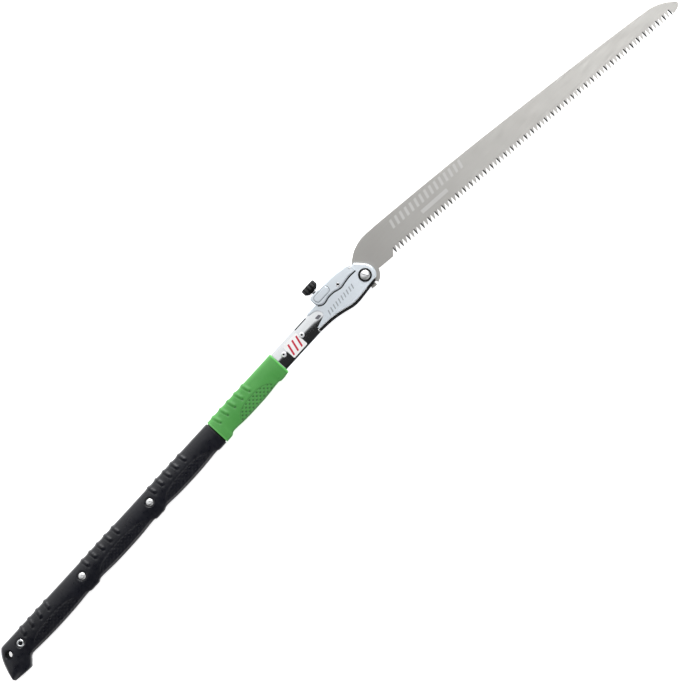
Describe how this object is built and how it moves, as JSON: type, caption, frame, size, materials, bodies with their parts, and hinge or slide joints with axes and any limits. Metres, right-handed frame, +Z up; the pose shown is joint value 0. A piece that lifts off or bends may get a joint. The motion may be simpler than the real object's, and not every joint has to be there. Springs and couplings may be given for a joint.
{
  "type": "two-handed folding saw",
  "caption": "Large two-handed folding pruning saw lying open on its side: toothed blade, cast head with lock lever and safety knob, channel handle in rubber grips.",
  "frame": {"origin": "on the blade pivot's axis, at the outer face of the pivot nut, which lies in the plane that the saw rests on", "axes": "+X along the handle towards the blade, +Y towards the spine and the lock lever, +Z up through the saw's thickness"},
  "size_m": [1.1705, 0.1075, 0.027],
  "materials": {
    "chrome": "polished chrome plate",
    "satin_cast": "satin, fine-grained cast surface",
    "blade_steel": "satin ground plate, brighter ground tooth bevels",
    "bright_steel": "bright turned",
    "spring_steel": "drawn wire",
    "black_oxide": "blackened, semi-matt",
    "black_plastic": "moulded, semi-matt",
    "knob_plastic": "moulded, semi-matt",
    "green_rubber": "moulded, fine grain, semi-matt",
    "black_rubber": "moulded, fine grain, semi-matt",
    "label_film": "printed film, plain pale ground",
    "brass": "turned"
  },
  "bodies": {
    "handle": {"handle_channel": "chrome", "head_casting": "satin_cast", "blade_guide_near": "black_plastic", "blade_guide_far": "black_plastic", "pivot_bolt": "chrome", "pivot_nut": "chrome", "pivot_ring_near": "black_oxide", "pivot_ring_far": "black_oxide", "pivot_bush": "brass", "thrust_washer_near": "brass", "thrust_washer_far": "brass", "lever_pin": "bright_steel", "lever_spring": "spring_steel", "neck_rivet_front": "bright_steel", "neck_rivet_rear": "bright_steel", "neck_label": "label_film", "grip_front": "green_rubber", "grip_rear": "black_rubber", "grip_screw_front": "bright_steel", "grip_screw_rear": "bright_steel", "grip_sleeve_nut_front": "bright_steel", "grip_sleeve_nut_rear": "bright_steel", "butt_eyelet": "chrome"},
    "blade": {"blade": "blade_steel"},
    "lever": {"lock_lever": "satin_cast", "lock_bar": "bright_steel"},
    "knob_washer": {"knob_washer": "chrome"},
    "knob": {"safety_knob": "knob_plastic", "knob_stud": "bright_steel"}
  },
  "joints": [
    {"name": "blade_fold", "type": "hinge", "parent": "handle", "child": "blade", "pos_m": [0, 0, 0.0135], "axis": [0, 0, -1], "range_deg": [0, 172.5]},
    {"name": "lever_press", "type": "hinge", "parent": "handle", "child": "lever", "pos_m": [-0.0315, 0.0165, 0.0135], "axis": [0, 0, 1], "range_deg": [0, 5], "stiffness_Nm_per_rad": 4, "springref_deg": -5.73, "deforming": ["lever_spring"]},
    {"name": "knob_travel", "type": "slide", "parent": "lever", "child": "knob_washer", "axis": [0, 1, 0], "range_m": [-0.00121, 0.00121]},
    {"name": "knob_turn", "type": "hinge", "parent": "knob_washer", "child": "knob", "pos_m": [-0.0585, 0.036, 0.0135], "axis": [0, 1, 0], "range_deg": [-540, 540]}
  ],
  "couplings": [
    {"joint": "knob_travel", "follows": "knob_turn", "m_per_rad": 0.0001273}
  ]
}
